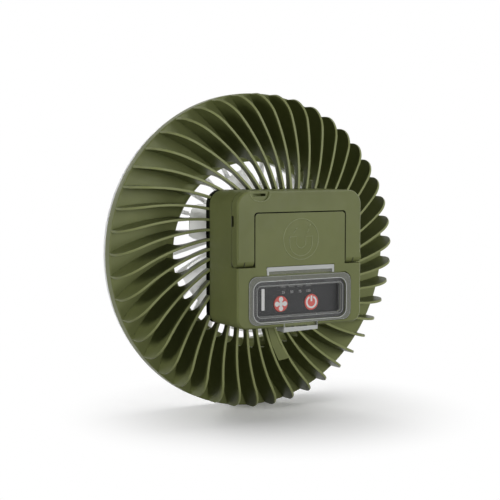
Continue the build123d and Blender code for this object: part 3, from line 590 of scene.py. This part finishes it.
def rear_grille():
    """Pan, swirl fins and hub."""
    shape = bmesh.new()
    painted_highlight = shape.verts.layers.float.new(PAINTED_HIGHLIGHT)
    lip = (INLET_R + INLET_LIP_OUT, RIM_DEPTH - INLET_LIP_SINK)
    rim = (RIM_R - RIM_ROUND, RIM_DEPTH - RIM_ROUND)
    inside = RIM_DEPTH - PAN_WALL
    profile = [(INLET_R, 0)]
    profile += arc(lip, (INLET_LIP_OUT, INLET_LIP_SINK), 180, 90, INLET_LIP_STEPS)
    profile += arc(rim, (RIM_ROUND,) * 2, 90, 0, RIM_ROUND_STEPS)
    profile += [(RIM_R, RIM_CHAMFER), (RIM_R - RIM_CHAMFER, 0), (RIM_R - PAN_WALL, 0)]
    profile += [(RIM_R - PAN_WALL, inside), (INLET_R + PAN_WALL, inside), (INLET_R + PAN_WALL, 0)]
    add_ring(shape, profile)
    # The rim's outer wall gets its share of the painted highlight
    for vertex in shape.verts:
        if Vector((vertex.co.x, vertex.co.z)).length > RIM_R - RIM_HIGHLIGHT_REACH:
            vertex[painted_highlight] = RIM_HIGHLIGHT
    add_hub(shape)
    for i in range(FIN_COUNT):
        add_fin(shape, radians(FIN_FIRST_DEG + 360 * i / FIN_COUNT))
    piece = add_drawn("grille_moulding", shape, OLIVE, "housing", "olive_plastic", "rear_grille")
    even_shading(piece)


def hub_shade_band():
    """Dark band round the hub, between the roots of the fins: painted shade where the fins shade the hub's
    wall.
    """
    shape = bmesh.new()
    outer, inner = box_outline(-SHADE_BAND_T), box_outline(SHADE_BAND_T)
    add_frame(shape, outer, inner, HUB_FRONT + SHADE_BAND_END, JOINT_Y - SHADE_BAND_END)
    add_drawn("hub_shade_band", shape, PAINTED_SHADE, "housing", "black_plastic")


def blade_point(along, across):
    """Radius, angle from the blade's middle and place along the axis of a point on a blade's middle face."""
    root_r = CUP_R - CUP_WALL / 2
    radius = root_r + along * (BLADE_TIP_R - root_r)
    half_w, half_h = (root + along * (tip - root) for root, tip in zip(BLADE_ROOT, BLADE_TIP))
    rounding = 1 - TIP_ROUND * along**TIP_ROUND_POWER
    turn = across * rounding * half_w / radius + radians(BLADE_SWEEP_DEG) * along**2
    return radius, turn, BLADE_Y - across * half_h - BLADE_CAMBER * along * (1 - across**2)


def blade_side(shape, side, angle_deg):
    """Rows of points on one side of a blade, from its root to its tip."""
    rows = []
    for i in range(BLADE_STEPS + 1):
        row = []
        for j in range(BLADE_STEPS + 1):
            across = 2 * j / BLADE_STEPS - 1
            radius, turn, y = blade_point(i / BLADE_STEPS, across)
            thick = side * BLADE_T / 2 * sqrt(max(BLADE_EDGE, 1 - across**2))
            turn += radians(angle_deg)
            row.append(shape.verts.new((radius * cos(turn), y + thick, radius * sin(turn))))
        rows.append(row)
    return rows


def border(rows):
    """Points round the edge of a grid, in order."""
    there = rows[0][:-1] + [row[-1] for row in rows[:-1]]
    return there + rows[-1][:0:-1] + [row[0] for row in rows[:0:-1]]


def add_blade(shape, angle_deg):
    """One cambered blade, swept back towards its tip."""
    sides = [blade_side(shape, side, angle_deg) for side in (-1, 1)]
    for rows in sides:
        for first, second in zip(rows, rows[1:]):
            for j in range(BLADE_STEPS):
                shape.faces.new((first[j], first[j + 1], second[j + 1], second[j]))
    bridge(shape, border(sides[0]), border(sides[1]))


def impeller():
    """Cup on the motor with its swept blades."""
    shape = bmesh.new()
    inside, cup_floor = CUP_R - CUP_WALL, CUP_FRONT + CUP_WALL
    add_ring(shape, [
        (inside, CUP_REAR), (CUP_R, CUP_REAR), (CUP_R, CUP_FRONT + CUP_ROUND),
        (CUP_R - CUP_ROUND_MIDDLE, CUP_FRONT + CUP_ROUND_MIDDLE), (CUP_R - CUP_ROUND, CUP_FRONT),
        (SHAFT_R, CUP_FRONT), (SHAFT_R, cup_floor), (inside, cup_floor),
    ])
    for i in range(BLADES):
        add_blade(shape, BLADE_FIRST_DEG + 360 * i / BLADES)
    piece = add_drawn("impeller_moulding", shape, WHITE, "fan", "white_plastic", "impeller")
    even_shading(piece)


def diffuser_joint():
    """Fine grey line of painted shade where the light's diffuser meets the guard, on the front."""
    circle = arc((0, 0), (DIFFUSER_JOINT_R,) * 2, 0, 360, RING_STEPS)
    y = axis_place("front_cover", FRONT) + JOINT_LINE / 2
    add_lines("diffuser_joint", [circle], y, JOINT_LINE, PRINT_AND_SHADE_GREY, "housing", "white_plastic")


def seal():
    """Black seal with rounded corners, round the pocket."""
    shape = bmesh.new()
    ends = axis_place("cover_gasket", FRONT), axis_place("cover_gasket", BACK)
    add_frame(shape, pocket_outline(-SEAL_W), pocket_outline(0), *ends)
    add_drawn("seal_ring", shape, SEAL_RUBBER_AND_SHADE, "housing", "seal_rubber", "cover_gasket")


def add_clear(name, look, front, back, outer, inner=None):
    """Clear piece of the lid: a frame between two outlines, or a prism of one."""
    shape = bmesh.new()
    if inner:
        add_frame(shape, outer, inner, front, back)
    else:
        add_prism(shape, outer, front, back)
    add_drawn(name, shape, look, "cover", "clear_plastic")


def lid_levels():
    """Places along the axis of the lid's face, of the thin films on it and of its raised trim."""
    face = axis_place("rear_box", BACK)
    return face, face + LID_LIP_RISE / 2, face + LID_LIP_RISE


def lid_frames():
    """Lip, border, step and inner rib of the clear lid; the lip, the step and the rib's line are painted
    highlight, the border painted reflection.
    """
    face, film, raised = lid_levels()
    under = axis_place("cover_gasket", BACK)
    lip, step, rib = lid_outline(LID_LIP_W), pocket_outline(-SEAL_W - STEP_W), pocket_outline(RIB_GAP)
    add_clear("lid_lip", CLEAR_HIGHLIGHT_LINE, face, raised, lid_outline(LID_LIP_INSET), lip)
    add_clear("lid_border", CLEAR_REFLECTION, face, film, lip, step)
    add_clear("lid_step", CLEAR_HIGHLIGHT, face, raised, step, pocket_outline(-SEAL_W))
    add_clear("lid_rib", CLEAR_THICK, under - RIB_DEPTH, under, rib, pocket_outline(RIB_GAP + RIB_W))
    add_clear("lid_rib_line", CLEAR_HIGHLIGHT_LINE, face, film, rib, pocket_outline(RIB_GAP + RIB_LINE))


def lid_hinge():
    """Bar, body and ends of the hinge tab at the top of the clear lid; the bar and the ends are painted
    highlight.
    """
    face, film, raised = lid_levels()
    top = height_place("clear_cover", HIGH)
    bar_w = TAB_W - 2 * TAB_EDGE
    bar = small_rect(0, top - HINGE_H / 2, bar_w, HINGE_H, HINGE_ROUND)
    add_clear("hinge_top", CLEAR_HIGHLIGHT, face, raised, bar)
    body = small_rect(0, top - HINGE_H - HINGE_BODY_H / 2, bar_w, HINGE_BODY_H, HINGE_ROUND)
    add_clear("hinge_body", CLEAR_BODY, face, film, body)
    for name, side in (("left", 1), ("right", -1)):
        end = small_rect(side * (TAB_W - TAB_EDGE) / 2, top - TAB_H / 2, TAB_EDGE, TAB_H, TAB_ROUND)
        add_clear(f"hinge_end_{name}", CLEAR_HIGHLIGHT, face, raised, end)


def lid_latch():
    """Edges, shelf and cheek of the latch at the bottom of the clear lid, all in painted highlight."""
    face, film, raised = lid_levels()
    bottom, lid_low = height_place("clear_cover", LOW), LID_MID - LID_H / 2
    half = LATCH_W / 2
    for name, side in (("left", 1), ("right", -1)):
        edge_x, edge_z = side * (LATCH_W - LATCH_EDGE) / 2, (lid_low + bottom) / 2
        edge = small_rect(edge_x, edge_z, LATCH_EDGE, lid_low - bottom, LATCH_ROUND)
        add_clear(f"latch_edge_{name}", CLEAR_HIGHLIGHT_LINE, face, film, edge)
    low, high = bottom - LATCH_DROP, bottom + LATCH_T
    shelf = [(half, low), (half, high), (-half, high), (-half, bottom)]
    add_clear("latch_shelf", CLEAR_HIGHLIGHT, face, raised, shelf)
    cheek = small_rect(half, (low + high) / 2, LATCH_EDGE, high - low, LATCH_ROUND)
    add_clear("latch_cheek", CLEAR_HIGHLIGHT, face - LATCH_REACH, face, cheek)


def add_sign(name, button, outlines):
    """White sign printed on a button."""
    shape = bmesh.new()
    face = axis_place(button, BACK)
    for outline in outlines:
        add_prism(shape, outline, face, face + PRINT_T)
    add_drawn(name, shape, PRINT, button, "button_plastic")


def fan_sign(x, z):
    """Four rounded blades round a small boss."""
    radii = [share * BUTTON_SIGN_R for share in FAN_SIGN_BLADE]
    blade = arc((0, FAN_SIGN_MIDDLE * BUTTON_SIGN_R), radii, 0, FAN_SIGN_TURN_DEG, FAN_SIGN_STEPS)
    outlines = []
    for i in range(FAN_SIGN_BLADES):
        points = [turned(a, b, 2 * pi * i / FAN_SIGN_BLADES) for a, b in blade]
        outlines.append([(x + a, z + b) for a, b in points])
    boss = (FAN_SIGN_BOSS * BUTTON_SIGN_R,) * 2
    outlines.append(arc((x, z), boss, 0, FAN_SIGN_TURN_DEG, FAN_SIGN_STEPS))
    add_sign("fan_sign", "fan_button", outlines)


def power_sign(x, z):
    """Broken ring with a bar in its gap."""
    outer, inner = ((share * BUTTON_SIGN_R,) * 2 for share in POWER_RING)
    start, end = POWER_RING_DEG
    ring = arc((x, z), outer, start, end, POWER_RING_STEPS)
    ring += arc((x, z), inner, end, start, POWER_RING_STEPS)
    half = POWER_BAR_HALF * BUTTON_SIGN_R
    low, high = (z + share * BUTTON_SIGN_R for share in POWER_BAR_ENDS)
    bar = [(x - half, low), (x + half, low), (x + half, high), (x - half, high)]
    add_sign("power_sign", "power_button", [ring, bar])


def panel_print():
    """Plain bar printed at the left of the panel, and the numbers under the lamps."""
    face = axis_place("indicator_lights", BACK)
    shape = bmesh.new()
    bar = small_rect(BAR_X, sum(BAR_Z) / 2, BAR_W, BAR_Z[1] - BAR_Z[0], BAR_ROUND)
    add_prism(shape, bar, face, face + PRINT_T)
    add_drawn("panel_bar", shape, PRINT, "housing", "panel_plastic")
    # Text is drawn in X and Y, and is turned here to be read from the back
    facing_back = Matrix(((-1, 0, 0), (0, 0, 1), (0, 1, 0))).to_4x4()
    for i, words in enumerate(LABELS):
        text = bpy.data.curves.new(f"label_{words}", "FONT")
        text.body, text.size, text.align_x = words, LABEL_SIZE * MM, "CENTER"
        text.extrude = PRINT_T * MM
        x = LAMP_PITCH * ((len(LABELS) - 1) / 2 - i)
        spot = Matrix.Translation(place(x, face, LABEL_Z)) @ facing_back
        add_piece(f"label_{words}", text, PRINT_AND_SHADE_GREY, "housing", "panel_plastic", spot=spot)


def magnet_sign():
    """Ring with a horseshoe magnet and its sparks, in fine raised lines of a paler olive that is painted
    highlight.
    """
    bend, arm = (0, SIGN_Z + SHOE_LOW), SIGN_Z + SHOE_TOP
    shoe = [(SHOE_OUT, arm)] + arc(bend, (SHOE_OUT,) * 2, 0, -180, SHOE_OUT_STEPS)
    shoe += [(-SHOE_OUT, arm), (-SHOE_IN, arm)]
    shoe += arc(bend, (SHOE_IN,) * 2, 180, 360, SHOE_IN_STEPS) + [(SHOE_IN, arm), (SHOE_OUT, arm)]
    strokes = [arc((0, SIGN_Z), (SIGN_R,) * 2, 0, 360, SIGN_STEPS), shoe]
    strokes += [[(x, SIGN_Z + z) for x, z in spark] for spark in SPARKS]
    face = axis_place("rear_box", BACK)
    add_lines("magnet_sign", strokes, face, SIGN_LINE, OLIVE_HIGHLIGHT_LINE, "housing", "olive_plastic")


def bail_marks():
    """Short dark line of painted shade for a slit near the end of each leg of the bail, and the lip of its
    lanyard scoop in painted highlight.
    """
    face, foot = axis_place("bail", BACK), height_place("bail", LOW)
    low, high = (foot + z for z in LEG_MARK_Z)
    for name, x in LEG_MARK_X.items():
        # Dark line that stands for the shade in the slit: painted shade
        slit = [(x, low), (x - LEG_MARK_LEAN, high)]
        add_lines(f"leg_mark_{name}", [slit], face, LEG_MARK_R, SHADOW_GAP, "bail", "olive_plastic")
    scoop = arc((SCOOP_X, SCOOP_Z), SCOOP_R, 180, 360, SCOOP_STEPS)
    # The scoop's lip in paler olive: painted highlight
    add_lines("scoop_lip", [scoop], face, SIGN_LINE, OLIVE_HIGHLIGHT_LINE, "bail", "olive_plastic")


def joint_shadow_lines():
    """Thin black beads of painted shadow in the bail's joints: along its seat on the box, and round the pad.
    """
    foot = height_place("bail", LOW) + LEG_FOOT
    side = BOX_W / 2 - JOINT_SHADOW_INSET
    outline = [point for point in box_outline(JOINT_SHADOW_INSET) if point[1] > foot]
    seat = [(side, foot), *outline, (-side, foot)]
    seat_y = axis_place("bail", FRONT) - JOINT_SHADOW_R
    # Black line in the joint between bail and box: painted shadow
    add_lines("bail_joint_shadow", [seat], seat_y, JOINT_SHADOW_R, SEAL_RUBBER_AND_SHADE, "housing", "seal_rubber")
    x, z = PAD_BEAD_X - PAD_BEAD_ROUND, PAD_BEAD_Z - PAD_BEAD_ROUND
    rounds = (PAD_BEAD_ROUND,) * 2
    bead = [(PAD_BEAD_X, foot)] + arc((x, z), rounds, 0, 90, PAD_BEAD_STEPS)
    bead += arc((-x, z), rounds, 90, 180, PAD_BEAD_STEPS) + [(-PAD_BEAD_X, foot)]
    bead_y = axis_place("rear_box", BACK) - PAD_BEAD_SINK
    # Near-black line in the gap round the pad: painted shadow
    add_lines("pad_gap_shadow", [bead], bead_y, PAD_BEAD_R, PAINTED_SHADE, "housing", "seal_rubber")


def socket_tongue():
    """Contact tongue and the insert that carries it, inside the shell of the charging socket."""
    low, high = ((corner - AXIS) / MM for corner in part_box("charging_socket"))
    middle_y, middle_z = (low.y + high.y) / 2, (low.z + high.z) / 2
    end = high.x - TONGUE_T
    insert_y, insert_z = high.y - low.y - 2 * TONGUE_T, high.z - low.z - 3 * TONGUE_T
    shape = bmesh.new()
    tongue, insert = (TONGUE_T, TONGUE_W, TONGUE_L), (insert_y, insert_z, TONGUE_T)
    for depth, height, length in (tongue, insert):
        outline = small_rect(middle_y, middle_z, depth, height, (depth - TONGUE_FLAT) / 2)
        loops = [[shape.verts.new((x, y, z)) for y, z in outline] for x in (end - length, end)]
        bridge(shape, *loops)
        for loop in loops:
            shape.faces.new(loop)
    add_drawn("socket_tongue", shape, BLACK, "housing", "black_plastic")


def seen_rays(tree):
    """Value of 1 for rays from the camera, from gloss and through glass, and 0 for light on matte faces."""
    path = tree.nodes.new("ShaderNodeLightPath")
    seen = path.outputs["Is Camera Ray"]
    for kind in ("Is Glossy Ray", "Is Transmission Ray"):
        seen = calculated(tree, "MAXIMUM", seen, path.outputs[kind])
    return seen


def floor_look():
    """Matte floor that keeps the object's shadow, and is seen as plain white further out; its lit grey near
    the object adds a painted shadow round the foot.
    """
    material = bpy.data.materials.new("pale_floor")
    material.use_nodes = True
    tree = material.node_tree
    tree.nodes.clear()
    seen = seen_rays(tree)
    matte = tree.nodes.new("ShaderNodeBsdfDiffuse")
    tone = mixed(tree, seen, (*(FLOOR_BOUNCE,) * 3, 1), (*(FLOOR_TONE,) * 3, 1))
    tree.links.new(tone, matte.inputs["Color"])
    lift = tree.nodes.new("ShaderNodeEmission")
    tree.links.new(calculated(tree, "MULTIPLY", seen, FLOOR_LIFT), lift.inputs["Strength"])
    near = tree.nodes.new("ShaderNodeAddShader")
    tree.links.new(matte.outputs[0], near.inputs[0])
    tree.links.new(lift.outputs[0], near.inputs[1])
    spread = tree.nodes.new("ShaderNodeTexCoord")
    away = tree.nodes.new("ShaderNodeVectorMath")
    away.operation = "LENGTH"
    tree.links.new(spread.outputs["Object"], away.inputs[0])
    # The floor's lit grey near the object, a painted contact shadow beside the real one, fades to plain
    # white further out
    fade = tree.nodes.new("ShaderNodeMapRange")
    fade.interpolation_type = "SMOOTHSTEP"
    fade.inputs["From Min"].default_value, fade.inputs["From Max"].default_value = FLOOR_FADE
    tree.links.new(away.outputs["Value"], fade.inputs["Value"])
    white = tree.nodes.new("ShaderNodeEmission")
    both = tree.nodes.new("ShaderNodeMixShader")
    tree.links.new(calculated(tree, "MULTIPLY", fade.outputs["Result"], seen), both.inputs["Fac"])
    tree.links.new(near.outputs[0], both.inputs[1])
    tree.links.new(white.outputs[0], both.inputs[2])
    out = tree.nodes.new("ShaderNodeOutputMaterial")
    tree.links.new(both.outputs[0], out.inputs["Surface"])
    return material


def floor():
    """Plain pale floor under the object."""
    mesh = bpy.data.meshes.new("floor")
    corners = ((-1, -1), (1, -1), (1, 1), (-1, 1))
    mesh.from_pydata([(x * FLOOR_HALF, y * FLOOR_HALF, 0) for x, y in corners], [], [(0, 1, 2, 3)])
    mesh.materials.append(floor_look())
    plane = bpy.data.objects.new("floor", mesh)
    bpy.context.scene.collection.objects.link(plane)


def world():
    """Surround that is white to the camera, to gloss and through glass, and lights no matte face."""
    surround = bpy.data.worlds.new("surround")
    surround.use_nodes = True
    bpy.context.scene.world = surround
    tree = surround.node_tree
    back = tree.nodes["Background"]
    back.inputs["Color"].default_value = (1, 1, 1, 1)
    tree.links.new(seen_rays(tree), back.inputs["Strength"])


def lamp(name, spot, watts, size):
    """Soft square lamp aimed at the middle of the object."""
    light = bpy.data.lights.new(name, "AREA")
    light.energy, light.size = watts, size
    holder = bpy.data.objects.new(name, light)
    bpy.context.scene.collection.objects.link(holder)
    holder.location = spot
    aim = Vector((0, 0, AXIS.z)) - Vector(spot)
    holder.rotation_euler = aim.to_track_quat("-Z", "Y").to_euler()


def camera():
    """Camera at the photograph's viewing angle."""
    data = bpy.data.cameras.new("camera")
    data.lens, data.sensor_width = CAMERA_LENS, SENSOR
    holder = bpy.data.objects.new("camera", data)
    bpy.context.scene.collection.objects.link(holder)
    holder.location = place(*CAMERA_PLACE)
    holder.rotation_euler = (-Vector(CAMERA_BACK)).to_track_quat("-Z", "Y").to_euler()
    bpy.context.scene.camera = holder


rear_grille()
softened("front_cover", "front_moulding", WHITE, "housing", "white_plastic", edge=0.7)
impeller()
softened("rear_box", "box_moulding", OLIVE, "housing", "olive_plastic", edge=0.3)
softened("bail", "bail_moulding", OLIVE, "bail", "olive_plastic", edge=0.35)
softened("clear_cover", "cover_moulding", CLEAR, "cover", "clear_plastic", edge=0.35)
softened("wire_cover", "wire_cover_moulding", OLIVE, "housing", "olive_plastic", edge=0.25)
softened("fan_button", "fan_button_cap", RED, "fan_button", "button_plastic", edge=0.3)
softened("power_button", "power_button_cap", RED, "power_button", "button_plastic", edge=0.3)
seal()
lid_frames()
lid_hinge()
lid_latch()
fan_sign(BUTTON_X, BUTTON_Z)
power_sign(-BUTTON_X, BUTTON_Z)
panel_print()
magnet_sign()
bail_marks()
joint_shadow_lines()
diffuser_joint()
hub_shade_band()
socket_tongue()
floor()
world()
for lamp_name, (lamp_spot, lamp_watts, lamp_size) in LAMPS.items():
    lamp(lamp_name, lamp_spot, lamp_watts, lamp_size)
camera()
bpy.context.scene.view_settings.view_transform = "Standard"
